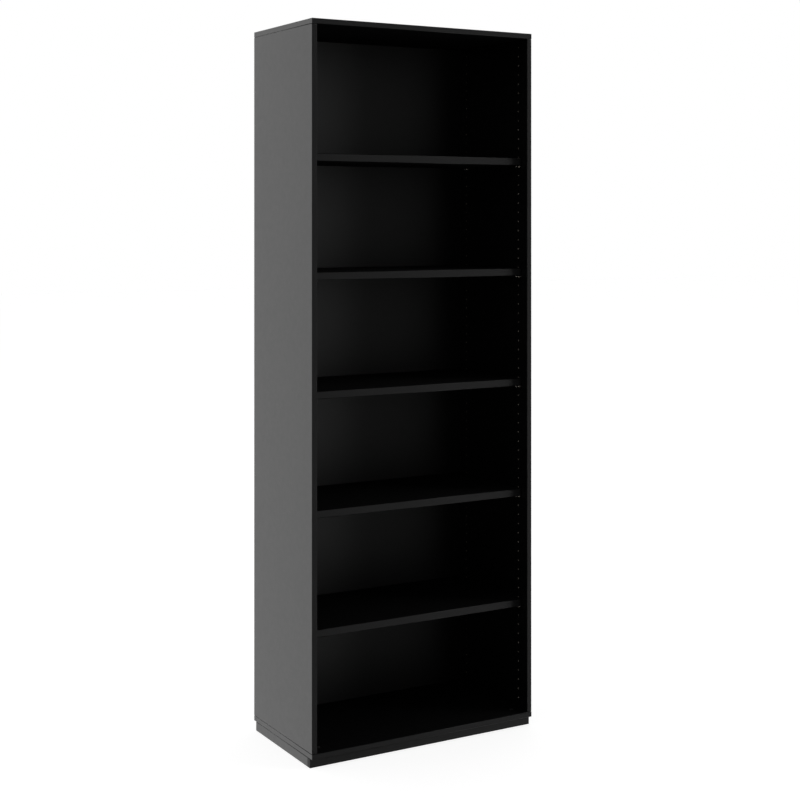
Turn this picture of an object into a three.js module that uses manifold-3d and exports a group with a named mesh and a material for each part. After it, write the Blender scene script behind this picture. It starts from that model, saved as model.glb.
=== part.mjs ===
// Tall open shelf cabinet: a black melamine carcass on a low plinth, with loose shelves that lie on
// metal pins in rows of system holes, and levelling feet that are turned through the bottom panel.
// Millimetres, X to the right, Y to the back, Z up. The origin is on the floor under the middle.

import * as THREE from 'three';
import { mergeGeometries, mergeVertices } from 'three/addons/utils/BufferGeometryUtils.js';
import Module from 'manifold-3d';

const wasm = await Module();
wasm.setup();

// Overall size
const cabinetWidth = 850;
const cabinetDepth = 445;
const cabinetHeight = 2400;

// Carcass boards and the bands glued to their front edges
const boardThickness = 18;
const bandThickness = 2;

// Plinth frame under the bottom panel, flush with the cabinet's sides
const plinthHeight = 30;
const plinthThickness = 18;
const plinthFrontRecess = 16;
const plinthRearRecess = 16;

// Back panel and the rebate that it lies in
const backThickness = 8;
const rebateWidth = 10;
const backPanelGap = 0.5;

// Loose shelves
const shelfCount = 5;
const shelfThickness = 25;
const shelfFrontRecess = 35;
const shelfSideGap = 2;
const shelfRearGap = 2;

// Rows of system holes, two in each side
const holePitch = 32;
const holeRadius = 2.5;
const holeDepth = 12;
const holeFrontSetback = 54;
const holeRearSetback = 53;
const lowestHoleRise = 37;
const highestHoleDrop = 20;
const holeSides = 7;

// Holes up to the lowest shelf's pins, and holes from one shelf's pins to the next
const firstShelfHoleCount = 10;
const nextShelfHoleCount = 12;

// Shelf pins, measured from the wall
const pinShankLength = 9;
const pinShankRadius = 2.25;
const pinCollarRadius = 7;
const pinCollarThickness = 1.2;
const pinStubRadius = 3.5;
const pinStubReach = 12;
const pinStubChamfer = 0.5;
const pinSides = 8;

// Dowels glued into the side panels and the plinth rails, whose free ends locate the next board
const dowelRadius = 4;
const dowelGap = 0.3;
const dowelSides = 6;
const carcassDowelLength = 30;
const carcassDowelFreeEnd = 10;
const carcassDowelCount = 3;
const carcassDowelInset = 40;
const plinthDowelLength = 25;
const plinthDowelFreeEnd = 8;
const plinthDowelInset = 90;

// Levelling feet, one near each corner
const levellerSideInset = 48;
const levellerSetback = 54;
const levellerGap = 0.3;
const levellerSides = 10;
const sleeveRadius = 7;
const sleeveLength = 13;
const flangeRadius = 12;
const flangeThickness = 2;
const spindleRadius = 4;
const spindleTopDrop = 0.5;
const spindleFootRadius = 6;
const spindleFootThickness = 2;
const keySocketAcross = 4;
const keySocketDepth = 5;
const keySocketSides = 6;
const padRadius = 15;
const padRimHeight = 2;
const padShoulderRadius = 9;
const padHeight = 7;
const padFloorThickness = 1.7;
const padFloorGap = 1;
const capRadius = 7.5;
const capThickness = 1.2;
const capChamfer = 0.5;
const capStemRadius = 5;
const capStemLength = 4;

// Every cutter runs on past the face that it opens
const overrun = 3;

// Places worked out from the sizes
const halfWidth = cabinetWidth / 2;
const frontY = -cabinetDepth / 2;
const rearY = cabinetDepth / 2;
const bottomPanelTop = plinthHeight + boardThickness;
const topPanelUnderside = cabinetHeight - boardThickness;
const innerHalfWidth = halfWidth - boardThickness;
const backFaceY = rearY - backThickness;
const rebateHalfWidth = innerHalfWidth + rebateWidth;
const lowestHoleZ = bottomPanelTop + lowestHoleRise;
const holeCount = 1 + Math.floor((topPanelUnderside - highestHoleDrop - lowestHoleZ) / holePitch);
const holeColumns = [frontY + holeFrontSetback, rearY - holeRearSetback];
const sides = { left: -1, right: 1 };
const fullTurn = Math.PI * 2;
const quarterTurn = fullTurn / 4;

// Finishes, each call making a new material
const melamine = () => finish(0x1d1d1f, 0.5, 0);
const edgeBand = () => finish(0x19191b, 0.42, 0);
const blackPlastic = () => finish(0x161617, 0.55, 0);
const nickel = () => finish(0xb9b8b2, 0.28, 1);
const zinc = () => finish(0x9fa1a3, 0.42, 1);

function finish(color, roughness, metalness) {
  return new THREE.MeshStandardMaterial({ color, roughness, metalness });
}

function piece(name, geometry, material) {
  const mesh = new THREE.Mesh(geometry, material);
  mesh.name = name;
  return mesh;
}

// Closed geometry as a solid that can be cut
function solidFrom(geometry) {
  const bare = geometry.clone();
  bare.deleteAttribute('normal');
  bare.deleteAttribute('uv');
  const merged = mergeVertices(bare);
  const corners = merged.index.array;
  const kept = [];
  for (let i = 0; i < corners.length; i += 3) {
    const [a, b, c] = corners.slice(i, i + 3);
    if (a !== b && b !== c && c !== a) {
      kept.push(a, b, c);
    }
  }
  const mesh = new wasm.Mesh({
    numProp: 3,
    vertProperties: merged.attributes.position.array,
    triVerts: Uint32Array.from(kept),
  });
  return new wasm.Manifold(mesh);
}

function geometryFrom(solid) {
  const mesh = solid.getMesh();
  const geometry = new THREE.BufferGeometry();
  geometry.setAttribute('position', new THREE.BufferAttribute(mesh.vertProperties, 3));
  geometry.setIndex(new THREE.BufferAttribute(mesh.triVerts, 1));
  geometry.computeVertexNormals();
  return geometry;
}

// Shapes of one list stand clear of each other, so they count as one solid
function machined(blank, cutters, pegs = []) {
  let solid = solidFrom(blank);
  if (cutters.length > 0) {
    solid = solid.subtract(solidFrom(mergeGeometries(cutters)));
  }
  if (pegs.length > 0) {
    solid = solid.add(solidFrom(mergeGeometries(pegs)));
  }
  return geometryFrom(solid);
}

// Places spread evenly from one end to the other
function spread(from, to, count) {
  return Array.from({ length: count }, (_, i) => from + (to - from) * i / (count - 1));
}

// Holes have their flats on the true circle, and pegs their corners, so a peg always clears its hole
function circleAround(radius, sideCount) {
  return radius / Math.cos(Math.PI / sideCount);
}

// Turned shape round Z, from a profile of [radius, height] pairs
function turned(profile, sideCount) {
  const points = profile.map(([radius, height]) => new THREE.Vector2(radius, height));
  const geometry = new THREE.LatheGeometry(points, sideCount, fullTurn / sideCount / 2);
  return geometry.rotateX(quarterTurn);
}

function rod(radius, low, high, sideCount) {
  return turned([[0, low], [radius, low], [radius, high], [0, high]], sideCount);
}

// A board between two corners given in the cabinet's frame, as are its cutters and pegs
function board(name, material, low, high, cutters = [], pegs = []) {
  const size = high.map((value, axis) => value - low[axis]);
  const middle = high.map((value, axis) => (value + low[axis]) / 2);
  const shift = middle.map((value) => -value);
  const blank = new THREE.BoxGeometry(...size);
  const worked = cutters.length + pegs.length > 0;
  const geometry = worked ? machined(blank, moved(cutters, shift), moved(pegs, shift)) : blank;
  const mesh = piece(name, geometry, material);
  mesh.position.set(...middle);
  return mesh;
}

function moved(geometries, shift) {
  return geometries.map((geometry) => geometry.translate(...shift));
}

// Upright dowels at [x, y] places, or the holes for them where there is a gap
function dowels(places, low, high, gap) {
  const radius = gap > 0 ? circleAround(dowelRadius + gap, dowelSides) : dowelRadius;
  return places.map(([x, y]) => rod(radius, low - gap, high + gap, dowelSides).translate(x, y, 0));
}

function sidePanelDowels(side, gap) {
  const x = side * (halfWidth - boardThickness / 2);
  const rows = spread(frontY + carcassDowelInset, rearY - carcassDowelInset, carcassDowelCount);
  const places = rows.map((y) => [x, y]);
  const topEnd = topPanelUnderside + carcassDowelFreeEnd;
  const bottomEnd = bottomPanelTop - carcassDowelFreeEnd;
  return [
    ...dowels(places, topEnd - carcassDowelLength, topEnd, gap),
    ...dowels(places, bottomEnd, bottomEnd + carcassDowelLength, gap),
  ];
}

// The plinth's four rails in plan: long ones in front and behind, short ones between them
function plinthRails() {
  const front = frontY + plinthFrontRecess;
  const rear = rearY - plinthRearRecess;
  const between = [front + plinthThickness, rear - plinthThickness];
  const inner = halfWidth - plinthThickness;
  return [
    { name: 'front', low: [-halfWidth, front], high: [halfWidth, between[0]] },
    { name: 'rear', low: [-halfWidth, between[1]], high: [halfWidth, rear] },
    { name: 'left', low: [-halfWidth, between[0]], high: [-inner, between[1]] },
    { name: 'right', low: [inner, between[0]], high: [halfWidth, between[1]] },
  ];
}

function plinthRailDowels({ low, high }, gap) {
  const middle = [(low[0] + high[0]) / 2, (low[1] + high[1]) / 2];
  const along = high[0] - low[0] > high[1] - low[1] ? 0 : 1;
  const places = [low[along] + plinthDowelInset, high[along] - plinthDowelInset].map((place) => {
    const point = [...middle];
    point[along] = place;
    return point;
  });
  const end = plinthHeight + plinthDowelFreeEnd;
  return dowels(places, end - plinthDowelLength, end, gap);
}

function plinth() {
  return plinthRails().map((rail) => {
    const low = [...rail.low, 0];
    const high = [...rail.high, plinthHeight];
    return board(`plinth_${rail.name}_rail`, melamine(), low, high, [], plinthRailDowels(rail, 0));
  });
}

// Pocket for the back panel along the rear edge of the top or the bottom panel
function crossRebate(low, high) {
  const depth = backThickness + overrun;
  const pocket = new THREE.BoxGeometry(rebateHalfWidth * 2, depth, high - low);
  return pocket.translate(0, backFaceY + depth / 2, (low + high) / 2);
}

function topPanel() {
  const low = [-halfWidth, frontY + bandThickness, topPanelUnderside];
  const high = [halfWidth, rearY, cabinetHeight];
  const cutters = [
    crossRebate(topPanelUnderside - overrun, topPanelUnderside + rebateWidth),
    ...sidePanelDowels(sides.left, dowelGap),
    ...sidePanelDowels(sides.right, dowelGap),
  ];
  return board('top_panel', melamine(), low, high, cutters);
}

function bottomPanel() {
  const low = [-halfWidth, frontY + bandThickness, plinthHeight];
  const high = [halfWidth, rearY, bottomPanelTop];
  const cutters = [
    crossRebate(bottomPanelTop - rebateWidth, bottomPanelTop + overrun),
    ...sidePanelDowels(sides.left, dowelGap),
    ...sidePanelDowels(sides.right, dowelGap),
    ...plinthRails().flatMap((rail) => plinthRailDowels(rail, dowelGap)),
    ...levellerPlaces.map(({ x, y }) => levellerHole().translate(x, y, 0)),
  ];
  return board('bottom_panel', melamine(), low, high, cutters);
}

// Blind holes in one side: two columns on an even pitch
function systemHoles(side) {
  const radius = circleAround(holeRadius, holeSides);
  const holes = [];
  for (const y of holeColumns) {
    for (let i = 0; i < holeCount; i += 1) {
      const hole = rod(radius, -overrun, holeDepth, holeSides).rotateY(side * quarterTurn);
      holes.push(hole.translate(side * innerHalfWidth, y, lowestHoleZ + i * holePitch));
    }
  }
  return holes;
}

// A side is drawn in plan with its rebate, pulled up to its height, drilled and dowelled
function sidePanel(sideName) {
  const side = sides[sideName];
  const outline = [
    [0, bandThickness],
    [boardThickness, bandThickness],
    [boardThickness, cabinetDepth - backThickness],
    [boardThickness - rebateWidth, cabinetDepth - backThickness],
    [boardThickness - rebateWidth, cabinetDepth],
    [0, cabinetDepth],
  ];
  const plan = new THREE.Shape(outline.map(([inward, back]) => new THREE.Vector2(-side * inward, back)));
  const height = topPanelUnderside - bottomPanelTop;
  const blank = new THREE.ExtrudeGeometry(plan, { depth: height, bevelEnabled: false });
  const corner = [side * halfWidth, frontY, bottomPanelTop];
  const shift = corner.map((value) => -value);
  const holes = moved(systemHoles(side), shift);
  const pegs = moved(sidePanelDowels(side, 0), shift);
  const mesh = piece(`${sideName}_side_panel`, machined(blank, holes, pegs), melamine());
  mesh.position.set(...corner);
  return mesh;
}

function backPanel() {
  const reachX = rebateHalfWidth - backPanelGap;
  const low = [-reachX, backFaceY, bottomPanelTop - rebateWidth + backPanelGap];
  const high = [reachX, rearY, topPanelUnderside + rebateWidth - backPanelGap];
  return board('back_panel', melamine(), low, high);
}

function frontBand(name, lowX, highX, lowZ, highZ) {
  const low = [lowX, frontY, lowZ];
  const high = [highX, frontY + bandThickness, highZ];
  return board(name, edgeBand(), low, high);
}

function carcassBands() {
  return [
    frontBand('top_front_band', -halfWidth, halfWidth, topPanelUnderside, cabinetHeight),
    frontBand('bottom_front_band', -halfWidth, halfWidth, plinthHeight, bottomPanelTop),
    frontBand('left_front_band', -halfWidth, -innerHalfWidth, bottomPanelTop, topPanelUnderside),
    frontBand('right_front_band', innerHalfWidth, halfWidth, bottomPanelTop, topPanelUnderside),
  ];
}

// Shelf pin round Z: the shank goes down into the wall, the stub stands out of it
function shelfPin() {
  const stub = circleAround(pinStubRadius, pinSides);
  return turned([
    [0, -pinShankLength],
    [pinShankRadius, -pinShankLength],
    [pinShankRadius, 0],
    [pinCollarRadius, 0],
    [pinCollarRadius, pinCollarThickness],
    [stub, pinCollarThickness],
    [stub, pinStubReach - pinStubChamfer],
    [stub - pinStubChamfer, pinStubReach],
    [0, pinStubReach],
  ], pinSides);
}

// The four pins of one shelf, with the shelf's underside at height zero
function shelfPins(number) {
  const rows = { front: holeColumns[0], rear: holeColumns[1] };
  const pins = [];
  for (const [rowName, y] of Object.entries(rows)) {
    for (const [sideName, side] of Object.entries(sides)) {
      const name = `shelf_${number}_${rowName}_${sideName}_pin`;
      const pin = piece(name, shelfPin().rotateY(-side * quarterTurn), nickel());
      pin.position.set(side * innerHalfWidth, y, -pinStubRadius);
      pins.push(pin);
    }
  }
  return pins;
}

function shelf(number) {
  const reachX = innerHalfWidth - shelfSideGap;
  const shelfFrontY = frontY + shelfFrontRecess;
  const bandRearY = shelfFrontY + bandThickness;
  const shelfRearY = backFaceY - shelfRearGap;
  const group = new THREE.Group();
  group.add(
    board(`shelf_${number}`, melamine(), [-reachX, bandRearY, 0], [reachX, shelfRearY, shelfThickness]),
    board(`shelf_${number}_front_band`, edgeBand(),
      [-reachX, shelfFrontY, 0], [reachX, bandRearY, shelfThickness]),
    ...shelfPins(number),
  );
  const holesBelow = firstShelfHoleCount + (number - 1) * nextShelfHoleCount;
  group.position.z = lowestHoleZ + holesBelow * holePitch + pinStubRadius;
  return group;
}

// Levelling feet, each seen from the point on the floor under its own axis
const levellerX = halfWidth - levellerSideInset;
const levellerY = cabinetDepth / 2 - levellerSetback;
const levellerPlaces = [
  { name: 'front_left', x: -levellerX, y: -levellerY },
  { name: 'front_right', x: levellerX, y: -levellerY },
  { name: 'rear_left', x: -levellerX, y: levellerY },
  { name: 'rear_right', x: levellerX, y: levellerY },
];
const sleeveTop = plinthHeight + sleeveLength;
const pocketFloor = padFloorGap + padFloorThickness;
const spindleFootLow = pocketFloor + levellerGap;
const spindleFootTop = spindleFootLow + spindleFootThickness;

// Stepped hole through the bottom panel: wide for the sleeve, narrow for the key
function levellerHole() {
  const wide = circleAround(sleeveRadius + levellerGap, levellerSides);
  const narrow = circleAround(capStemRadius + levellerGap, levellerSides);
  return turned([
    [0, plinthHeight - overrun],
    [wide, plinthHeight - overrun],
    [wide, sleeveTop + levellerGap],
    [narrow, sleeveTop + levellerGap],
    [narrow, bottomPanelTop + overrun],
    [0, bottomPanelTop + overrun],
  ], levellerSides);
}

// Threaded sleeve let into the bottom panel, its flange below
function levellerSleeve() {
  const bore = circleAround(spindleRadius + levellerGap, levellerSides);
  const flangeLow = plinthHeight - flangeThickness;
  return turned([
    [bore, flangeLow],
    [flangeRadius, flangeLow],
    [flangeRadius, plinthHeight],
    [sleeveRadius, plinthHeight],
    [sleeveRadius, sleeveTop],
    [bore, sleeveTop],
    [bore, flangeLow],
  ], levellerSides);
}

// Spindle with a key socket in its top and a disc at its foot that the pad holds
function levellerSpindle() {
  const top = sleeveTop - spindleTopDrop;
  const blank = turned([
    [0, spindleFootLow],
    [spindleFootRadius, spindleFootLow],
    [spindleFootRadius, spindleFootTop],
    [spindleRadius, spindleFootTop],
    [spindleRadius, top],
    [0, top],
  ], levellerSides);
  const socketRadius = circleAround(keySocketAcross / 2, keySocketSides);
  return machined(blank, [rod(socketRadius, top - keySocketDepth, top + overrun, keySocketSides)]);
}

// Pad that stands on the floor, with a pocket and a narrow neck round the spindle's foot
function levellerPad() {
  const pocket = circleAround(spindleFootRadius + levellerGap, levellerSides);
  const neck = circleAround(spindleRadius + levellerGap, levellerSides);
  const pocketTop = spindleFootTop + levellerGap;
  const padTop = padFloorGap + padHeight;
  return turned([
    [0, padFloorGap],
    [padRadius, padFloorGap],
    [padRadius, padFloorGap + padRimHeight],
    [padShoulderRadius, padTop],
    [neck, padTop],
    [neck, pocketTop],
    [pocket, pocketTop],
    [pocket, pocketFloor],
    [0, pocketFloor],
  ], levellerSides);
}

// Cap that closes the key's hole in the floor of the lowest compartment
function accessCap() {
  const top = bottomPanelTop + capThickness;
  return turned([
    [0, bottomPanelTop - capStemLength],
    [capStemRadius, bottomPanelTop - capStemLength],
    [capStemRadius, bottomPanelTop],
    [capRadius, bottomPanelTop],
    [capRadius, top - capChamfer],
    [capRadius - capChamfer, top],
    [0, top],
  ], levellerSides);
}

function leveller({ name, x, y }) {
  const group = new THREE.Group();
  group.add(
    piece(`${name}_leveller_sleeve`, levellerSleeve(), zinc()),
    piece(`${name}_leveller_spindle`, levellerSpindle(), zinc()),
    piece(`${name}_leveller_pad`, levellerPad(), blackPlastic()),
    piece(`${name}_access_cap`, accessCap(), blackPlastic()),
  );
  group.position.set(x, y, 0);
  return group;
}

const cabinet = new THREE.Group();
cabinet.add(topPanel(), bottomPanel(), sidePanel('left'), sidePanel('right'), backPanel());
cabinet.add(...carcassBands(), ...plinth());
for (let number = 1; number <= shelfCount; number += 1) {
  cabinet.add(shelf(number));
}
cabinet.add(...levellerPlaces.map(leveller));

export default cabinet;
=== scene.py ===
from math import cos, pi, radians, sin

import bmesh
import bpy
from mathutils import Matrix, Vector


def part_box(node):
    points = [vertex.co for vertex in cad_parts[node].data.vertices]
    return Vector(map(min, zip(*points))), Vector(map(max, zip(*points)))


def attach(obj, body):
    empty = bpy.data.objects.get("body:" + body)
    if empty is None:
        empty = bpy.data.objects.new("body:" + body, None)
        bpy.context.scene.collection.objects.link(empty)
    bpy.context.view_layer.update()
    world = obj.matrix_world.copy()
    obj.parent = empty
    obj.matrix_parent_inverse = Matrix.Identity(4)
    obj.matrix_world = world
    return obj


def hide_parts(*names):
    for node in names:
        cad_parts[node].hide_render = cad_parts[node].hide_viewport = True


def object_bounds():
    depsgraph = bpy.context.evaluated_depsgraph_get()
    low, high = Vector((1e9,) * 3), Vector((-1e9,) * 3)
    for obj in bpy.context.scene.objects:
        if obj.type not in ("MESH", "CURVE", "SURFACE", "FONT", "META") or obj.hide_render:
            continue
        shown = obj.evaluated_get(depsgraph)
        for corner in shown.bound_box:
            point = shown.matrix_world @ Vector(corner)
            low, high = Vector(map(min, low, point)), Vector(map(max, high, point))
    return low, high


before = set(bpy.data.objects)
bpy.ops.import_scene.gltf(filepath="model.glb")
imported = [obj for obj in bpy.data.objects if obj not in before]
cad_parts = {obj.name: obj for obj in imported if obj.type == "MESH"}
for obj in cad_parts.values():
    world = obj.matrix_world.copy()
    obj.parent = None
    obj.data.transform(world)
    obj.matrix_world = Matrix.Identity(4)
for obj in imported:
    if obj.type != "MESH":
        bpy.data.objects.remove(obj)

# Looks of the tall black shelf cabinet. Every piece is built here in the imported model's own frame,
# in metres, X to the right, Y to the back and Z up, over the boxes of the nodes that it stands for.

cad_low, cad_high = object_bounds()

# Edges and joints of the boards
EDGE_BREAK = 0.0003
EDGE_BREAK_SEGMENTS = 2
SEAM_ROUNDING = 0.001
SEAM_SEGMENTS = 4
BAND_ROUNDING = 0.0015
BAND_SEGMENTS = 5
UPRIGHT_BAND_GAP = 0.002
END_BAND = 0.0015
END_BAND_GAP = 0.0005
REBATE_WIDTH = 0.010
BACK_PANEL_GAP = 0.0005
CREASE = radians(30)
FLAT = radians(1)
ROUND_PROFILE = 0.5

# System holes
HOLE_PITCH = 0.032
HOLE_RADIUS = 0.0025
HOLE_DEPTH = 0.012
HOLE_COUNT = 72
LOWEST_HOLE_RISE = 0.037
HOLE_FRONT_SETBACK = 0.054
HOLE_REAR_SETBACK = 0.053
HOLE_SIDES = 24

# Shelves, and their pins measured from the wall
SHELF_COUNT = 5
PIN_SHANK_LENGTH = 0.009
PIN_SHANK_RADIUS = 0.00225
PIN_COLLAR_RADIUS = 0.007
PIN_COLLAR_THICKNESS = 0.0012
PIN_STUB_RADIUS = 0.0035
PIN_STUB_REACH = 0.012
PIN_ROUNDING = 0.0004
PIN_TIP_ROUNDING = 0.002
PIN_TIP_STEPS = 6
PIN_SIDES = 32

# Levelling feet and their caps
LEVELLERS = ("front_left", "front_right", "rear_left", "rear_right")
FOOT_SIDES = 40
SLEEVE_RADIUS = 0.007
SLEEVE_BORE = 0.0043
FLANGE_RADIUS = 0.012
FLANGE_THICKNESS = 0.002
SLEEVE_HOLE_RADIUS = 0.0073
KEY_HOLE_RADIUS = 0.0053
THREAD_CREST = 0.004
THREAD_ROOT = 0.0034
THREAD_PITCH = 0.00125
THREAD_SIDES = 24
THREAD_OVERLAP = 0.0001
SPINDLE_DISC_RADIUS = 0.006
SPINDLE_DISC_THICKNESS = 0.002
KEY_SOCKET_ACROSS = 0.004
KEY_SOCKET_DEPTH = 0.005
KEY_SIDES = 6
PAD_RADIUS = 0.015
PAD_RIM_HEIGHT = 0.002
PAD_SHOULDER_RADIUS = 0.009
PAD_NECK_RADIUS = 0.0043
PAD_POCKET_RADIUS = 0.0063
PAD_FLOOR_THICKNESS = 0.0017
PAD_POCKET_TOP = 0.0053
CAP_RADIUS = 0.0075
CAP_THICKNESS = 0.0012
CAP_STEM_RADIUS = 0.005
CAP_EDGE_INSET = 0.0007
CAP_CROWN_DROP = 0.0000625
FOOT_ROUNDING = 0.0005
SMALL_GAP = 0.0003

# Countersunk screws of the back panel
SCREW_HEAD_RADIUS = 0.0034
SCREW_HEAD_DEPTH = 0.0022
SCREW_SHANK_RADIUS = 0.0016
SCREW_LENGTH = 0.022
SCREW_POINT_LENGTH = 0.0032
SCREW_RECESS_RADIUS = 0.0037
SCREW_EDGE_INSET = 0.0046
SCREW_CROSS_LENGTH = 0.0036
SCREW_CROSS_WIDTH = 0.0008
SCREW_CROSS_DEPTH = 0.0014
SCREW_SIDES = 32
SCREW_HEAD_SINK = 0.0001
SCREW_TURN = radians(37)
SCREW_ROWS = 8
SCREW_COLUMNS = 4
SCREW_END_INSET = 0.06

# Every cutter runs on past the face that it opens
OVERRUN = 0.001

# Points of a profile that are nearer than this are one point, and so are corners of a mesh that
# agree in these decimals
SHORTEST_STEP = 0.000001
CORNER_DECIMALS = 7

# Camera, found from the photograph's corners and hole centres
CAMERA_PLACE = (-2.5815, -4.5283, 1.7611)
CAMERA_HEADING = 0.52343
CAMERA_LENS_MM = 67.83
CAMERA_SENSOR_MM = 36
CAMERA_SHIFT = (-0.0017, -0.2276)
CAMERA_REACH = 200

# Noise keeps mostly between these levels
NOISE_SPAN = (0.25, 0.75)

# Refraction of the black finishes, gloss of the bands, and chips to a metre in a drilled hole
MELAMINE_IOR = 1.55
BAND_IOR = 1.5
BAND_GLOSS = 0.27
CHIPS_PER_METRE = 700

# Colours of the finishes, each with its place in the noise that mixes them
MELAMINE_TONES = ((0.3, (0.0010, 0.0010, 0.0011)), (0.7, (0.0016, 0.0016, 0.0017)))
BAND_TONES = ((0.3, (0.0030, 0.0030, 0.0031)), (0.7, (0.0040, 0.0040, 0.0041)))
PLASTIC_TONES = ((0.3, (0.006, 0.006, 0.006)), (0.7, (0.009, 0.009, 0.009)))
NICKEL_TONES = ((0.3, (0.52, 0.49, 0.44)), (0.7, (0.66, 0.63, 0.58)))
ZINC_TONES = ((0.3, (0.44, 0.45, 0.47)), (0.7, (0.60, 0.61, 0.62)))
CHIP_TONES = (
    (0.15, (0.18, 0.165, 0.135)),
    (0.5, (0.26, 0.24, 0.205)),
    (0.85, (0.32, 0.30, 0.265)),
)

# Studio
WHITE = (1, 1, 1, 1)
FLOOR_REACH = 30
FLOOR_GLOW = 0.85
FLOOR_ALBEDO = 0.3

# Brightness of the studio's walls by bearing in degrees, from the cabinet's front towards its
# right: a pale backdrop from side to side behind it, a dim room in front of it with a grey strip
# straight ahead, and a narrow bright screen to the right
WALLS = (
    (-180, 1.17),
    (-95, 1.17),
    (-75, 0.8),
    (-50, 0.4),
    (-35, 0.05),
    (4, 0.05),
    (8, 0.55),
    (13, 0.55),
    (20, 0.24),
    (30, 0.07),
    (41, 0.07),
    (46, 1.6),
    (50, 3.4),
    (55, 3.4),
    (60, 2.0),
    (70, 0.9),
    (80, 0.3),
    (95, 0.5),
    (120, 1.17),
    (180, 1.17),
)
BRIGHTEST_WALL = 3.4

# The walls end in the dark towards the zenith and below the floor's far edge
DARK_LEVEL = 0.05
DARK_STARTS = 0.6
DARK_FULL = 0.88

# Soft lamp over the cabinet, which has no mirror image
LAMP_HEIGHT = 12
LAMP_SIZE = 8
LAMP_WATTS = 420


class Shell:
    """Faces that share their corners until they become one mesh."""

    def __init__(self):
        self.points = []
        self.numbers = {}
        self.faces = []

    def number(self, point):
        """Number of a point, one for all points that fall together."""
        key = tuple(round(value, CORNER_DECIMALS) for value in point)
        if key not in self.numbers:
            self.numbers[key] = len(self.points)
            self.points.append(key)
        return self.numbers[key]

    def face(self, points, finish=0, smooth=False):
        """Adds a face, without the corners that fall together."""
        numbers = []
        for point in points:
            number = self.number(point)
            if number not in numbers:
                numbers.append(number)
        self.faces.append((numbers, finish, smooth))

    def bmesh(self):
        """The faces as one mesh, all facing outwards."""
        mesh = bmesh.new()
        corners = [mesh.verts.new(point) for point in self.points]
        for numbers, finish, smooth in self.faces:
            face = mesh.faces.new([corners[number] for number in numbers])
            face.material_index = finish
            face.smooth = smooth
        bmesh.ops.recalc_face_normals(mesh, faces=mesh.faces)
        return mesh


def shown(name, mesh, finishes):
    """A finished bmesh as an object in the scene."""
    data = bpy.data.meshes.new(name)
    mesh.to_mesh(data)
    mesh.free()
    for finish in finishes:
        data.materials.append(finish)
    piece = bpy.data.objects.new(name, data)
    bpy.context.scene.collection.objects.link(piece)
    return piece


def dress(piece, body, slot, *nodes):
    """Says which body carries the piece and which nodes it stands for. The slot is not used."""
    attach(piece, body)
    if nodes:
        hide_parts(*nodes)


def stacked(xs, ys, zs, missing=()):
    """Outside of a stack of blocks between these planes, without the missing blocks."""
    lines = (xs, ys, zs)
    blocks = [
        (i, j, k)
        for i in range(len(xs) - 1)
        for j in range(len(ys) - 1)
        for k in range(len(zs) - 1)
        if (i, j, k) not in missing
    ]
    shell = Shell()
    for block in blocks:
        for axis in range(3):
            across, along = [other for other in range(3) if other != axis]
            for step in (0, 1):
                neighbour = list(block)
                neighbour[axis] += 2 * step - 1
                if tuple(neighbour) in blocks:
                    continue
                corners = []
                for a, b in ((0, 0), (1, 0), (1, 1), (0, 1)):
                    corner = [0, 0, 0]
                    corner[axis] = lines[axis][block[axis] + step]
                    corner[across] = lines[across][block[across] + a]
                    corner[along] = lines[along][block[along] + b]
                    corners.append(corner)
                shell.face(corners)
    return shell


def merge_flats(mesh):
    """Joins faces that lie in one plane."""
    bmesh.ops.dissolve_limit(mesh, angle_limit=FLAT, verts=mesh.verts[:], edges=mesh.edges[:])


def soften(mesh, rounding, segments, wanted=lambda edge: True):
    """Rounds the sharp edges that are wanted, but no edge of a drilled hole."""
    edges = [
        edge
        for edge in mesh.edges
        if len(edge.link_faces) == 2
        and edge.calc_face_angle() > CREASE
        and all(face.material_index == 0 for face in edge.link_faces)
        and not all(face.smooth for face in edge.link_faces)
        and wanted(edge)
    ]
    made = bmesh.ops.bevel(
        mesh,
        geom=edges,
        offset=rounding,
        offset_type="OFFSET",
        segments=segments,
        profile=ROUND_PROFILE,
        affect="EDGES",
        clamp_overlap=True,
    )
    for face in made["faces"]:
        face.smooth = True


def level_edges_in(*planes):
    """Picks the level edges that lie in one of these planes, each an axis and a place on it."""

    def wanted(edge):
        start, end = (corner.co for corner in edge.verts)
        level = abs(start.z - end.z) < SHORTEST_STEP
        return level and any(
            abs(start[axis] - place) < SHORTEST_STEP and abs(end[axis] - place) < SHORTEST_STEP
            for axis, place in planes
        )

    return wanted


def clear_of_roundings(edge):
    """Picks the edges that touch no rounding made before."""
    return not any(face.smooth for face in edge.link_faces)


def block(low, high):
    """Plain box between two corners."""
    return stacked(*zip(low, high)).bmesh()


def board(name, low, high, finish, rounded=None):
    """Board with a seam's rounding on the edges that are wanted, and its other edges broken."""
    mesh = block(low, high)
    if rounded:
        soften(mesh, SEAM_ROUNDING, SEAM_SEGMENTS, rounded)
    soften(mesh, EDGE_BREAK, EDGE_BREAK_SEGMENTS, clear_of_roundings)
    return shown(name, mesh, [finish])


def edge_strip(name, node, finish):
    """Edge band with a milled front: a level one along its long edges, an upright one all round."""
    low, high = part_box(node)
    upright = high.z - low.z > high.x - low.x
    if upright:
        low.z += UPRIGHT_BAND_GAP
        high.z -= UPRIGHT_BAND_GAP
    mesh = block(low, high)

    def milled(edge):
        start, end = (corner.co for corner in edge.verts)
        runs_along = upright or abs(end.x - start.x) > BAND_ROUNDING
        return runs_along and max(start.y, end.y) < low.y + EDGE_BREAK

    def at_back(edge):
        return min(corner.co.y for corner in edge.verts) > high.y - EDGE_BREAK

    soften(mesh, BAND_ROUNDING, BAND_SEGMENTS, milled)
    soften(mesh, EDGE_BREAK, EDGE_BREAK_SEGMENTS, at_back)
    return shown(name, mesh, [finish])


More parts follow.
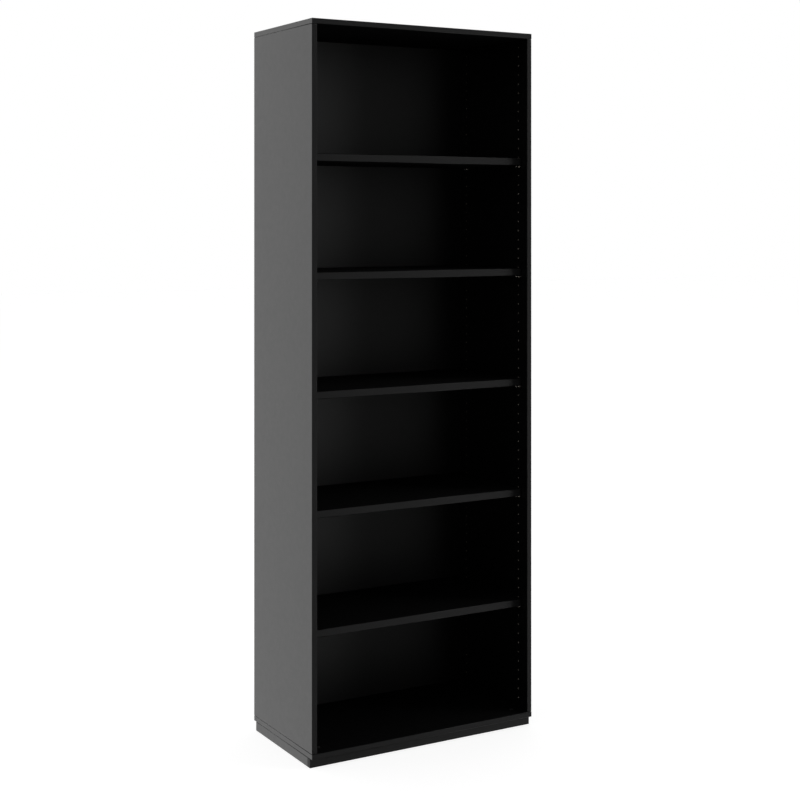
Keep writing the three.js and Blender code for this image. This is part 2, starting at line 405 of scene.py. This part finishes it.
def turned(name, profile, sides, finish, closed=False):
    """Turned shape round Z from (radius, height) pairs. A closed profile is a ring's section."""
    shell = Shell()
    ends = profile[1:] + profile[:1] if closed else profile[1:]
    for (inner, low), (outer, high) in zip(profile, ends):
        if max(abs(outer - inner), abs(high - low)) < SHORTEST_STEP:
            continue
        for side in range(sides):
            start = 2 * pi * side / sides
            end = 2 * pi * ((side + 1) % sides) / sides
            shell.face(
                [
                    (inner * cos(start), inner * sin(start), low),
                    (inner * cos(end), inner * sin(end), low),
                    (outer * cos(end), outer * sin(end), high),
                    (outer * cos(start), outer * sin(start), high),
                ],
                smooth=True,
            )
    piece = shown(name, shell.bmesh(), [finish])
    piece.data.set_sharp_from_angle(angle=CREASE)
    return piece


def arc(centre, radius, start, end, steps=4):
    """Points of a rounding in a profile, from one angle to the other, in degrees."""
    points = []
    for step in range(steps + 1):
        angle = radians(start + (end - start) * step / steps)
        points.append((centre[0] + radius * cos(angle), centre[1] + radius * sin(angle)))
    return points


def cut(piece, cutters, finishes):
    """Cuts the cutters out of the piece, and removes them."""
    for cutter in cutters:
        for finish in finishes:
            cutter.data.materials.append(finish)
        change = piece.modifiers.new("cut", "BOOLEAN")
        change.operation = "DIFFERENCE"
        change.solver = "EXACT"
        change.object = cutter
    view = bpy.context.evaluated_depsgraph_get()
    result = bpy.data.meshes.new_from_object(piece.evaluated_get(view))
    result.name = piece.name
    piece.modifiers.clear()
    piece.data = result
    for cutter in cutters:
        bpy.data.objects.remove(cutter)
    return piece


def copied(name, piece, place):
    """Another piece with the same mesh, at this place."""
    copy = bpy.data.objects.new(name, piece.data)
    bpy.context.scene.collection.objects.link(copy)
    copy.matrix_world = place
    return copy


def spread(start, end, count):
    """Values at equal steps from start to end."""
    return [start + (end - start) * i / (count - 1) for i in range(count)]


# Materials

def material(name):
    """New material, with its nodes and its shader."""
    made = bpy.data.materials.new(name)
    made.use_nodes = True
    return made, made.node_tree, made.node_tree.nodes["Principled BSDF"]


def grain(tree, scale, detail, roughness=0.5, stretch=None):
    """Noise at a real scale on the piece's own coordinates."""
    place = tree.nodes.new("ShaderNodeTexCoord")
    noise = tree.nodes.new("ShaderNodeTexNoise")
    noise.inputs["Scale"].default_value = scale
    noise.inputs["Detail"].default_value = detail
    noise.inputs["Roughness"].default_value = roughness
    source = place.outputs["Object"]
    if stretch:
        mapping = tree.nodes.new("ShaderNodeMapping")
        mapping.inputs["Scale"].default_value = stretch
        tree.links.new(source, mapping.inputs["Vector"])
        source = mapping.outputs["Vector"]
    tree.links.new(source, noise.inputs["Vector"])
    return noise.outputs["Fac"]


def ramp(tree, source, stops):
    """Colour or level that runs between the stops, each a place and a colour."""
    made = tree.nodes.new("ShaderNodeValToRGB")
    points = made.color_ramp.elements
    while len(points) < len(stops):
        points.new(1)
    for point, (place, colour) in zip(points, stops):
        point.position = place
        point.color = (*colour, 1)
    tree.links.new(source, made.inputs["Fac"])
    return made.outputs["Color"]


def mapped(tree, source, given, wanted=(0, 1), smooth=False):
    """Level that goes through the wanted span as the source goes through the given one."""
    made = tree.nodes.new("ShaderNodeMapRange")
    made.interpolation_type = "SMOOTHSTEP" if smooth else "LINEAR"
    made.inputs["From Min"].default_value, made.inputs["From Max"].default_value = given
    made.inputs["To Min"].default_value, made.inputs["To Max"].default_value = wanted
    tree.links.new(source, made.inputs["Value"])
    return made.outputs["Result"]


def coloured(tree, shader, source, tones):
    """Base colour that follows the source through these tones."""
    tree.links.new(ramp(tree, source, tones), shader.inputs["Base Color"])


def roughened(tree, shader, noise, smoothest, roughest):
    """Roughness that follows the noise between its two limits."""
    level = mapped(tree, noise, NOISE_SPAN, (smoothest, roughest))
    tree.links.new(level, shader.inputs["Roughness"])


def bumped(tree, shader, height, depth):
    """Relief of this depth in metres, where the height is a noise."""
    made = tree.nodes.new("ShaderNodeBump")
    made.inputs["Distance"].default_value = depth
    made.inputs["Strength"].default_value = 1
    tree.links.new(height, made.inputs["Height"])
    tree.links.new(made.outputs["Normal"], shader.inputs["Normal"])


def black_melamine(name, smoothest, roughest, gloss):
    """Resin-faced board: a fine pearl in the press plate, and faint clouds in colour and gloss."""
    made, tree, shader = material(name)
    coloured(tree, shader, grain(tree, scale=9, detail=4), MELAMINE_TONES)
    roughened(tree, shader, grain(tree, scale=60, detail=5), smoothest, roughest)
    shader.inputs["IOR"].default_value = MELAMINE_IOR
    shader.inputs["Specular IOR Level"].default_value = gloss
    bumped(tree, shader, grain(tree, scale=950, detail=2, roughness=0.45), depth=0.000012)
    return made


def black_edge_band():
    """Glued plastic band, paler than the board and fairly matt, with a very fine grain."""
    made, tree, shader = material("black_band_plastic")
    coloured(tree, shader, grain(tree, scale=25, detail=3), BAND_TONES)
    scraped = grain(tree, scale=260, detail=3, roughness=0.6)
    roughened(tree, shader, scraped, smoothest=0.50, roughest=0.56)
    shader.inputs["IOR"].default_value = BAND_IOR
    shader.inputs["Specular IOR Level"].default_value = BAND_GLOSS
    bumped(tree, shader, grain(tree, scale=1400, detail=2), depth=0.000006)
    return made


def raw_chipboard():
    """Raw chips in the wall of a drilled hole."""
    made, tree, shader = material("raw_chipboard")
    place = tree.nodes.new("ShaderNodeTexCoord")
    chips = tree.nodes.new("ShaderNodeTexVoronoi")
    chips.inputs["Scale"].default_value = CHIPS_PER_METRE
    tree.links.new(place.outputs["Object"], chips.inputs["Vector"])
    coloured(tree, shader, chips.outputs["Color"], CHIP_TONES)
    roughened(tree, shader, grain(tree, scale=900, detail=3), smoothest=0.75, roughest=0.95)
    bumped(tree, shader, chips.outputs["Distance"], depth=0.0002)
    return made


def plated_steel(name, tones, smoothest, roughest, lines):
    """Plated steel with the fine rings of a turned part."""
    made, tree, shader = material(name)
    shader.inputs["Metallic"].default_value = 1
    coloured(tree, shader, grain(tree, scale=420, detail=4), tones)
    roughened(tree, shader, grain(tree, scale=700, detail=3), smoothest, roughest)
    rings = grain(tree, scale=lines, detail=2, roughness=0.6, stretch=(0.08, 0.08, 1))
    bumped(tree, shader, rings, depth=0.000015)
    return made


def black_plastic():
    """Moulded plastic with a fine spark-eroded texture."""
    made, tree, shader = material("moulded_black_plastic")
    coloured(tree, shader, grain(tree, scale=90, detail=3), PLASTIC_TONES)
    roughened(tree, shader, grain(tree, scale=500, detail=3), smoothest=0.45, roughest=0.6)
    bumped(tree, shader, grain(tree, scale=2600, detail=2), depth=0.00002)
    return made


# Pearl outside, a rougher face on the back panel, and matt where a shelf or a compartment's own
# floor or ceiling would else mirror the room
MELAMINE = black_melamine("black_melamine_pearl", smoothest=0.32, roughest=0.38, gloss=0.5)
BACK_MELAMINE = black_melamine("black_melamine_back", smoothest=0.42, roughest=0.48, gloss=0.5)
MATT_MELAMINE = black_melamine("black_melamine_matt", smoothest=0.75, roughest=0.85, gloss=0.1)
BAND = black_edge_band()
CHIPBOARD = raw_chipboard()
NICKEL = plated_steel(
    "nickel_plated_pin_steel", NICKEL_TONES, smoothest=0.11, roughest=0.19, lines=2600
)
ZINC = plated_steel(
    "zinc_plated_screw_steel", ZINC_TONES, smoothest=0.3, roughest=0.48, lines=1800
)
PLASTIC = black_plastic()


# Carcass

def end_boards():
    """Top and bottom boards, each notched for the back panel and banded at its two ends."""
    back_low, back_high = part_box("back_panel")
    notch = back_high.x + BACK_PANEL_GAP
    for end, notch_low in (("top", True), ("bottom", False)):
        low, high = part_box(f"{end}_panel")
        step = low.z + REBATE_WIDTH if notch_low else high.z - REBATE_WIDTH
        mesh = stacked(
            (low.x + END_BAND, -notch, notch, high.x - END_BAND),
            (low.y, back_low.y, high.y),
            (low.z, step, high.z),
            missing=[(1, 1, 0 if notch_low else 1)],
        ).bmesh()
        merge_flats(mesh)
        soften(mesh, EDGE_BREAK, EDGE_BREAK_SEGMENTS)
        mesh.normal_update()
        inward = -1 if notch_low else 1
        for face in mesh.faces:
            face.material_index = 1 if face.normal.z * inward > cos(CREASE) else 0
        piece = shown(f"{end}_board", mesh, [MELAMINE, MATT_MELAMINE])
        if end == "bottom":
            cut(piece, leveller_holes(low.z, high.z), [MELAMINE])
        dress(piece, "cabinet", "black_melamine", f"{end}_panel")
        band_top = high.z if notch_low else high.z - END_BAND_GAP
        for side, start, outer in (("left", low.x, low.x), ("right", high.x - END_BAND, high.x)):
            band = board(
                f"{end}_board_{side}_end_band",
                (start, low.y, low.z + END_BAND_GAP),
                (start + END_BAND, high.y, band_top),
                MELAMINE,
                level_edges_in((0, outer)),
            )
            dress(band, "cabinet", "black_melamine")


def leveller_holes(low, high):
    """Stepped holes for the sleeves of the levelling feet and their key."""
    holes = []
    for place in LEVELLERS:
        sleeve_low, sleeve_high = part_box(f"{place}_leveller_sleeve")
        step = sleeve_high.z + SMALL_GAP
        hole = turned(
            f"{place}_hole",
            [
                (0, low - OVERRUN),
                (SLEEVE_HOLE_RADIUS, low - OVERRUN),
                (SLEEVE_HOLE_RADIUS, step),
                (KEY_HOLE_RADIUS, step),
                (KEY_HOLE_RADIUS, high + OVERRUN),
                (0, high + OVERRUN),
            ],
            FOOT_SIDES,
            MELAMINE,
        )
        hole.location.x = (sleeve_low.x + sleeve_high.x) / 2
        hole.location.y = (sleeve_low.y + sleeve_high.y) / 2
        holes.append(hole)
    return holes


def drilled_face(shell, x, outward, ys, zs, columns, rows):
    """Inner face of a side between its four corners, with columns of blind round holes in it."""
    half = HOLE_PITCH / 2
    edges = [rows[0] - half] + [row + half for row in rows]
    lines = []
    for column in columns:
        lines.append([(x, column - half, z) for z in edges])
        lines.append([(x, column + half, z) for z in edges])
    corners = {(i, k): (x, ys[i], zs[k]) for i in (0, 1) for k in (0, 1)}
    shell.face([corners[0, 0], corners[0, 1]] + lines[0][::-1])
    shell.face(lines[1] + lines[2][::-1])
    shell.face([corners[1, 1], corners[1, 0]] + lines[3])
    for end in (0, 1):
        shell.face([corners[0, end], *(line[-end] for line in lines), corners[1, end]])
    for column in columns:
        for row in rows:
            blind_hole(shell, x, outward, column, row, half)


def blind_hole(shell, x, outward, y, z, half):
    """One square of the drilled face, with its hole, whose wall shows raw chipboard."""
    # The rim starts towards a corner of the square, so that a quarter of it belongs to each side
    rim = []
    for i in range(HOLE_SIDES):
        angle = 2 * pi * i / HOLE_SIDES - pi / 4
        rim.append((y + HOLE_RADIUS * cos(angle), z + HOLE_RADIUS * sin(angle)))
    turns = ((1, -1), (1, 1), (-1, 1), (-1, -1))
    square = [(y + half * a, z + half * b) for a, b in turns]
    quarter = HOLE_SIDES // 4
    for side in range(4):
        arc_points = [rim[(side * quarter + i) % HOLE_SIDES] for i in range(quarter + 1)]
        outline = [square[side], square[(side + 1) % 4]] + arc_points[::-1]
        shell.face([(x, a, b) for a, b in outline])
    floor = x + outward * HOLE_DEPTH
    for i in range(HOLE_SIDES):
        a, b = rim[i], rim[(i + 1) % HOLE_SIDES]
        shell.face([(x, *a), (x, *b), (floor, *b), (floor, *a)], finish=1, smooth=True)
    shell.face([(floor, a, b) for a, b in rim], finish=1)


def side_board(side, outward):
    """Side with its rebate for the back panel and its two columns of system holes."""
    low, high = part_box(f"{side}_side_panel")
    z_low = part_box("bottom_panel")[1].z
    z_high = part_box("top_panel")[0].z
    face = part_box("back_panel")[0].y
    rear = high.y
    outer, inner = (low.x, high.x) if outward < 0 else (high.x, low.x)
    step = inner + outward * REBATE_WIDTH
    shell = Shell()
    plan = [(outer, low.y), (inner, low.y), (inner, face)]
    plan += [(step, face), (step, rear), (outer, rear)]
    for z in (z_low, z_high):
        shell.face([(x, y, z) for x, y in plan])
    for start, end in zip(plan, plan[1:] + plan[:1]):
        if start[0] == inner and end[0] == inner:
            continue
        shell.face([(*start, z_low), (*end, z_low), (*end, z_high), (*start, z_high)])
    columns = [cad_low.y + HOLE_FRONT_SETBACK, cad_high.y - HOLE_REAR_SETBACK]
    rows = [z_low + LOWEST_HOLE_RISE + HOLE_PITCH * i for i in range(HOLE_COUNT)]
    drilled_face(shell, inner, outward, (low.y, face), (z_low, z_high), columns, rows)
    mesh = shell.bmesh()
    soften(mesh, SEAM_ROUNDING, SEAM_SEGMENTS, level_edges_in((0, outer), (1, low.y)))
    soften(mesh, EDGE_BREAK, EDGE_BREAK_SEGMENTS, clear_of_roundings)
    piece = shown(f"{side}_side_board", mesh, [MELAMINE, CHIPBOARD])
    dress(piece, "cabinet", "black_melamine", f"{side}_side_panel")


def screw_places(low, high):
    """Places of the back panel's screws: up its two sides, then along its two ends."""
    rows = spread(low.z + SCREW_END_INSET, high.z - SCREW_END_INSET, SCREW_ROWS)
    columns = spread(low.x + SCREW_END_INSET, high.x - SCREW_END_INSET, SCREW_COLUMNS)
    xs = (low.x + SCREW_EDGE_INSET, high.x - SCREW_EDGE_INSET)
    zs = (low.z + SCREW_EDGE_INSET, high.z - SCREW_EDGE_INSET)
    return [(x, z) for x in xs for z in rows] + [(x, z) for z in zs for x in columns]


def facing_back(x, y, z):
    """Place that turns the top of a shape to the back of the cabinet."""
    return Matrix.Translation((x, y, z)) @ Matrix.Rotation(-pi / 2, 4, "X")


def back_board():
    """Back panel with countersunk screws all round its edge."""
    low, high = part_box("back_panel")
    piece = board("back_board", low, high, BACK_MELAMINE)
    places = screw_places(low, high)
    cone = [
        (0, -SCREW_HEAD_DEPTH - OVERRUN),
        (SCREW_SHANK_RADIUS, -SCREW_HEAD_DEPTH - OVERRUN),
        (SCREW_SHANK_RADIUS, -SCREW_HEAD_DEPTH),
        (SCREW_RECESS_RADIUS, 0),
        (SCREW_RECESS_RADIUS, OVERRUN),
        (0, OVERRUN),
    ]
    recesses = []
    for x, z in places:
        recess = turned("recess", cone, SCREW_SIDES, BACK_MELAMINE)
        recess.matrix_world = facing_back(x, high.y, z)
        recesses.append(recess)
    bpy.ops.object.select_all(action="DESELECT")
    for recess in recesses:
        recess.select_set(True)
    bpy.context.view_layer.objects.active = recesses[0]
    bpy.ops.object.join()
    cut(piece, [recesses[0]], [])
    dress(piece, "cabinet", "black_melamine", "back_panel")
    screw = back_screw()
    for number, (x, z) in enumerate(places, 1):
        turn = Matrix.Rotation(SCREW_TURN * number, 4, "Z")
        place = facing_back(x, high.y - SCREW_HEAD_SINK, z) @ turn
        head = copied(f"back_screw_{number:02d}", screw, place)
        dress(head, "cabinet", "zinc_plated_steel")
    bpy.data.objects.remove(screw)


def back_screw():
    """Countersunk screw with a cross slot, its head's face at height zero."""
    rim = SCREW_HEAD_RADIUS
    body = turned(
        "back_screw",
        [
            (0, -SCREW_LENGTH),
            (SCREW_SHANK_RADIUS, -SCREW_LENGTH + SCREW_POINT_LENGTH),
            (SCREW_SHANK_RADIUS, -SCREW_HEAD_DEPTH),
            (rim, -SMALL_GAP),
            (rim, 0),
            (0, 0),
        ],
        SCREW_SIDES,
        ZINC,
    )
    cutters = []
    for turn in (0, pi / 2):
        reach, half = SCREW_CROSS_LENGTH / 2, SCREW_CROSS_WIDTH / 2
        shell = stacked((-reach, reach), (-half, half), (-SCREW_CROSS_DEPTH, OVERRUN))
        slot = shown("slot", shell.bmesh(), [ZINC])
        slot.rotation_euler.z = turn
        cutters.append(slot)
    bpy.context.view_layer.update()
    return cut(body, cutters, [ZINC])


def carcass_strips():
    """Front edge bands of the carcass."""
    for place in ("top", "bottom", "left", "right"):
        node = f"{place}_front_band"
        dress(edge_strip(f"{place}_edge_strip", node, BAND), "cabinet", "black_edge_band", node)


def plinth():
    """Four rails up to the bottom board, the front one as pale as the bands."""
    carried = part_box("bottom_panel")[0]
    for place in ("front", "rear", "left", "right"):
        node = f"plinth_{place}_rail"
        low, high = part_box(node)
        finish, slot = MELAMINE, "black_melamine"
        if place == "front":
            finish, slot = BAND, "black_edge_band"
        high.z = carried.z
        rounded = level_edges_in((0, cad_low.x), (0, cad_high.x), (1, low.y))
        piece = board(f"plinth_{place}_board", low, high, finish, rounded)
        dress(piece, "cabinet", slot, node)


# Shelves and their pins

def shelves():
    """Loose shelves with their bands, and the pins in the sides that carry them."""
    pin = shelf_peg()
    for number in range(1, SHELF_COUNT + 1):
        body = f"loose_shelf_{number}"
        node = f"shelf_{number}"
        low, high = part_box(node)
        dress(board(f"{node}_board", low, high, MATT_MELAMINE), body, "black_melamine", node)
        band = f"{node}_front_band"
        dress(edge_strip(f"{node}_edge_strip", band, BAND), body, "black_edge_band", band)
        for row in ("front", "rear"):
            for side, inward in (("left", 1), ("right", -1)):
                pin_node = f"{node}_{row}_{side}_pin"
                low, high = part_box(pin_node)
                wall = (low.x if inward > 0 else high.x) + inward * PIN_SHANK_LENGTH
                middle = (wall, (low.y + high.y) / 2, (low.z + high.z) / 2)
                place = Matrix.Translation(middle) @ Matrix.Rotation(inward * pi / 2, 4, "Y")
                peg = copied(f"{node}_{row}_{side}_peg", pin, place)
                dress(peg, "cabinet", "nickel_plated_steel", pin_node)
    bpy.data.objects.remove(pin)


def shelf_peg():
    """Pin round Z: shank down into the wall, round collar on it, stub out of it."""
    stub, r, tip = PIN_STUB_RADIUS, PIN_ROUNDING, PIN_TIP_ROUNDING
    profile = [(0, -PIN_SHANK_LENGTH), (PIN_SHANK_RADIUS - r, -PIN_SHANK_LENGTH)]
    profile += arc((PIN_SHANK_RADIUS - r, -PIN_SHANK_LENGTH + r), r, -90, 0)
    profile += [(PIN_SHANK_RADIUS, 0), (PIN_COLLAR_RADIUS, 0)]
    profile += arc((PIN_COLLAR_RADIUS - r, PIN_COLLAR_THICKNESS - r), r, 0, 90)
    profile += arc((stub + r, PIN_COLLAR_THICKNESS + r), r, 270, 180)
    profile += arc((stub - tip, PIN_STUB_REACH - tip), tip, 0, 90, PIN_TIP_STEPS)
    profile += [(0, PIN_STUB_REACH)]
    return turned("peg", profile, PIN_SIDES, NICKEL)


# Levelling feet

def feet():
    """Sleeve, screw, pad and cap of each levelling foot."""
    for place in LEVELLERS:
        low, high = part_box(f"{place}_leveller_pad")
        x, y = (low.x + high.x) / 2, (low.y + high.y) / 2
        pieces = [
            (sleeve(place), "cabinet", "zinc_plated_steel", f"{place}_leveller_sleeve"),
            (spindle(place), f"{place}_screw", "zinc_plated_steel", f"{place}_leveller_spindle"),
            (pad(place), f"{place}_foot", "black_plastic", f"{place}_leveller_pad"),
            (cap(place), "cabinet", "black_plastic", f"{place}_access_cap"),
        ]
        for piece, body, slot, node in pieces:
            piece.location.x = x
            piece.location.y = y
            dress(piece, body, slot, node)


def sleeve(place):
    """Threaded sleeve with a flange, whose rim is rounded."""
    low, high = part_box(f"{place}_leveller_sleeve")
    r = FOOT_ROUNDING
    under = low.z + FLANGE_THICKNESS
    profile = [(SLEEVE_BORE, low.z)]
    profile += arc((FLANGE_RADIUS - r, low.z + r), r, -90, 0)
    profile += [(FLANGE_RADIUS, under), (SLEEVE_RADIUS, under)]
    profile += [(SLEEVE_RADIUS, high.z), (SLEEVE_BORE, high.z)]
    return turned(f"{place}_sleeve", profile, FOOT_SIDES, ZINC, closed=True)


def spindle(place):
    """Screw with a real thread, a key socket in its top and a disc at its foot."""
    low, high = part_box(f"{place}_leveller_spindle")
    r = FOOT_ROUNDING
    disc_top = low.z + SPINDLE_DISC_THICKNESS
    profile = [(0, low.z)]
    profile += arc((SPINDLE_DISC_RADIUS - r, low.z + r), r, -90, 0)
    profile += arc((SPINDLE_DISC_RADIUS - r, disc_top - r), r, 0, 90)
    profile += [(THREAD_ROOT, disc_top), (THREAD_ROOT, high.z - r)]
    profile += [(THREAD_ROOT - r, high.z), (0, high.z)]
    core = turned(f"{place}_spindle", profile, FOOT_SIDES, ZINC)
    reach = KEY_SOCKET_ACROSS / 2 / cos(pi / KEY_SIDES)
    key = turned(
        "key",
        [
            (0, high.z - KEY_SOCKET_DEPTH),
            (reach, high.z - KEY_SOCKET_DEPTH),
            (reach, high.z + OVERRUN),
            (0, high.z + OVERRUN),
        ],
        KEY_SIDES,
        ZINC,
    )
    key.data.shade_flat()
    cut(core, [key], [ZINC])
    mesh = bmesh.new()
    mesh.from_mesh(core.data)
    add_thread(mesh, disc_top + THREAD_PITCH, high.z - THREAD_PITCH)
    mesh.to_mesh(core.data)
    mesh.free()
    return core


def add_thread(mesh, low, high):
    """Ridge that winds up the screw, and runs out into its core at both ends."""
    turns = (high - low) / THREAD_PITCH
    steps = int(turns * THREAD_SIDES)
    sunk = THREAD_ROOT - THREAD_OVERLAP
    before = None
    for step in range(steps + 1):
        angle = 2 * pi * step / THREAD_SIDES
        z = low + THREAD_PITCH * step / THREAD_SIDES
        runout = min(1, step / THREAD_SIDES, (steps - step) / THREAD_SIDES)
        crest = THREAD_ROOT + (THREAD_CREST - THREAD_ROOT) * runout
        section = [(sunk, z - THREAD_PITCH / 2), (crest, z), (sunk, z + THREAD_PITCH / 2)]
        ring = [mesh.verts.new((r * cos(angle), r * sin(angle), h)) for r, h in section]
        if before:
            for i in range(len(ring)):
                after = (i + 1) % len(ring)
                mesh.faces.new((before[i], ring[i], ring[after], before[after]))
        else:
            mesh.faces.new(ring)
        before = ring
    mesh.faces.new(before[::-1])
    mesh.normal_update()


def pad(place):
    """Foot pad that grips the screw's disc, with a softened rim."""
    low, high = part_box(f"{place}_leveller_pad")
    r = FOOT_ROUNDING
    floor = low.z + PAD_FLOOR_THICKNESS
    roof = PAD_POCKET_TOP
    profile = arc((PAD_RADIUS - r, low.z + r), r, -90, 0)
    profile += [(PAD_RADIUS, low.z + PAD_RIM_HEIGHT)]
    profile += [(PAD_SHOULDER_RADIUS + r, high.z - r), (PAD_SHOULDER_RADIUS, high.z)]
    profile += [(PAD_NECK_RADIUS, high.z), (PAD_NECK_RADIUS, roof), (PAD_POCKET_RADIUS, roof)]
    profile += [(PAD_POCKET_RADIUS, floor), (0, floor)]
    return turned(f"{place}_pad", [(0, low.z)] + profile, FOOT_SIDES, PLASTIC)


def cap(place):
    """Push-in cap over the key's hole, slightly domed."""
    low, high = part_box(f"{place}_access_cap")
    top = high.z
    floor = top - CAP_THICKNESS
    r = FOOT_ROUNDING
    profile = [(0, low.z), (CAP_STEM_RADIUS - r, low.z), (CAP_STEM_RADIUS, low.z + r)]
    profile += [(CAP_STEM_RADIUS, floor), (CAP_RADIUS, floor)]
    profile += arc((CAP_RADIUS - CAP_EDGE_INSET, top - CAP_EDGE_INSET), r, 0, 90)
    profile += [(CAP_RADIUS / 2, top - CAP_CROWN_DROP), (0, top)]
    return turned(f"{place}_cap", profile, FOOT_SIDES, PLASTIC)


# Studio

def worked(tree, operation, *values):
    """Result of one arithmetic step on sockets and numbers."""
    made = tree.nodes.new("ShaderNodeMath")
    made.operation = operation
    for socket, value in zip(made.inputs, values):
        if isinstance(value, bpy.types.NodeSocket):
            tree.links.new(value, socket)
        else:
            socket.default_value = value
    return made.outputs["Value"]


def mixed(tree, choice, first, second):
    """First shader where the choice is zero, second where it is one."""
    made = tree.nodes.new("ShaderNodeMixShader")
    tree.links.new(choice, made.inputs["Fac"])
    tree.links.new(first, made.inputs[1])
    tree.links.new(second, made.inputs[2])
    return made.outputs["Shader"]


def seen(tree, path):
    """One for rays from the camera, also those that went through a clear thing, else zero."""
    return worked(
        tree, "MAXIMUM", path.outputs["Is Camera Ray"], path.outputs["Is Transmission Ray"]
    )


def floor():
    """Plain white floor that keeps the shadow. Mirror rays pass it and see the studio's walls."""
    mesh = bmesh.new()
    corners = [(-1, -1), (1, -1), (1, 1), (-1, 1)]
    mesh.faces.new([mesh.verts.new((x * FLOOR_REACH, y * FLOOR_REACH, 0)) for x, y in corners])
    made = bpy.data.materials.new("studio_floor")
    made.use_nodes = True
    tree = made.node_tree
    tree.nodes.clear()
    out = tree.nodes.new("ShaderNodeOutputMaterial")
    path = tree.nodes.new("ShaderNodeLightPath")
    lit = tree.nodes.new("ShaderNodeBsdfDiffuse")
    lit.inputs["Color"].default_value = (FLOOR_ALBEDO, FLOOR_ALBEDO, FLOOR_ALBEDO, 1)
    glow = tree.nodes.new("ShaderNodeEmission")
    strength = worked(tree, "MULTIPLY", seen(tree, path), FLOOR_GLOW)
    tree.links.new(strength, glow.inputs["Strength"])
    both = tree.nodes.new("ShaderNodeAddShader")
    tree.links.new(lit.outputs["BSDF"], both.inputs[0])
    tree.links.new(glow.outputs["Emission"], both.inputs[1])
    clear = tree.nodes.new("ShaderNodeBsdfTransparent")
    mirrored = path.outputs["Is Glossy Ray"]
    result = mixed(tree, mirrored, both.outputs["Shader"], clear.outputs["BSDF"])
    tree.links.new(result, out.inputs["Surface"])
    shown("studio_floor", mesh, [made])


def background(tree, strength):
    """Evenly white background of the world."""
    made = tree.nodes.new("ShaderNodeBackground")
    made.inputs["Color"].default_value = WHITE
    made.inputs["Strength"].default_value = strength
    return made


def surroundings():
    """Studio walls that light the cabinet by bearing. The camera itself sees a white background."""
    world = bpy.data.worlds.new("studio")
    bpy.context.scene.world = world
    world.use_nodes = True
    tree = world.node_tree
    tree.nodes.clear()
    out = tree.nodes.new("ShaderNodeOutputWorld")
    path = tree.nodes.new("ShaderNodeLightPath")
    place = tree.nodes.new("ShaderNodeTexCoord")
    split = tree.nodes.new("ShaderNodeSeparateXYZ")
    tree.links.new(place.outputs["Generated"], split.inputs["Vector"])
    forward = worked(tree, "MULTIPLY", split.outputs["Y"], -1)
    bearing = worked(tree, "ARCTAN2", split.outputs["X"], forward)
    # A ramp takes places from 0 to 1 and greys up to 1
    stops = [(0.5 + degrees / 360, [level / BRIGHTEST_WALL] * 3) for degrees, level in WALLS]
    walls = background(tree, BRIGHTEST_WALL)
    level = ramp(tree, mapped(tree, bearing, (-pi, pi)), stops)
    tree.links.new(level, walls.inputs["Color"])
    steepness = worked(tree, "ABSOLUTE", split.outputs["Z"])
    beyond = mapped(tree, steepness, (DARK_STARTS, DARK_FULL), smooth=True)
    dark = background(tree, DARK_LEVEL)
    room = mixed(tree, beyond, walls.outputs["Background"], dark.outputs["Background"])
    white = background(tree, 1)
    result = mixed(tree, seen(tree, path), room, white.outputs["Background"])
    tree.links.new(result, out.inputs["Surface"])


def lamp():
    """Soft light from above, so that the surfaces that face up show their own colour too."""
    data = bpy.data.lights.new("overhead_lamp", "AREA")
    data.size = LAMP_SIZE
    data.energy = LAMP_WATTS
    over = bpy.data.objects.new("overhead_lamp", data)
    over.location.z = LAMP_HEIGHT
    over.visible_camera = False
    over.visible_glossy = False
    bpy.context.scene.collection.objects.link(over)


def camera():
    """Level camera at the photograph's place, with only the shift that its framing needs."""
    data = bpy.data.cameras.new("photo_camera")
    data.lens = CAMERA_LENS_MM
    data.sensor_width = CAMERA_SENSOR_MM
    data.shift_x, data.shift_y = CAMERA_SHIFT
    data.clip_end = CAMERA_REACH
    eye = bpy.data.objects.new("photo_camera", data)
    eye.location = CAMERA_PLACE
    eye.rotation_euler = (pi / 2, 0, -CAMERA_HEADING)
    bpy.context.scene.collection.objects.link(eye)
    bpy.context.scene.camera = eye


camera()
surroundings()
lamp()
floor()
end_boards()
side_board("left", -1)
side_board("right", 1)
back_board()
carcass_strips()
plinth()
shelves()
feet()

bpy.context.scene.view_settings.view_transform = "Standard"
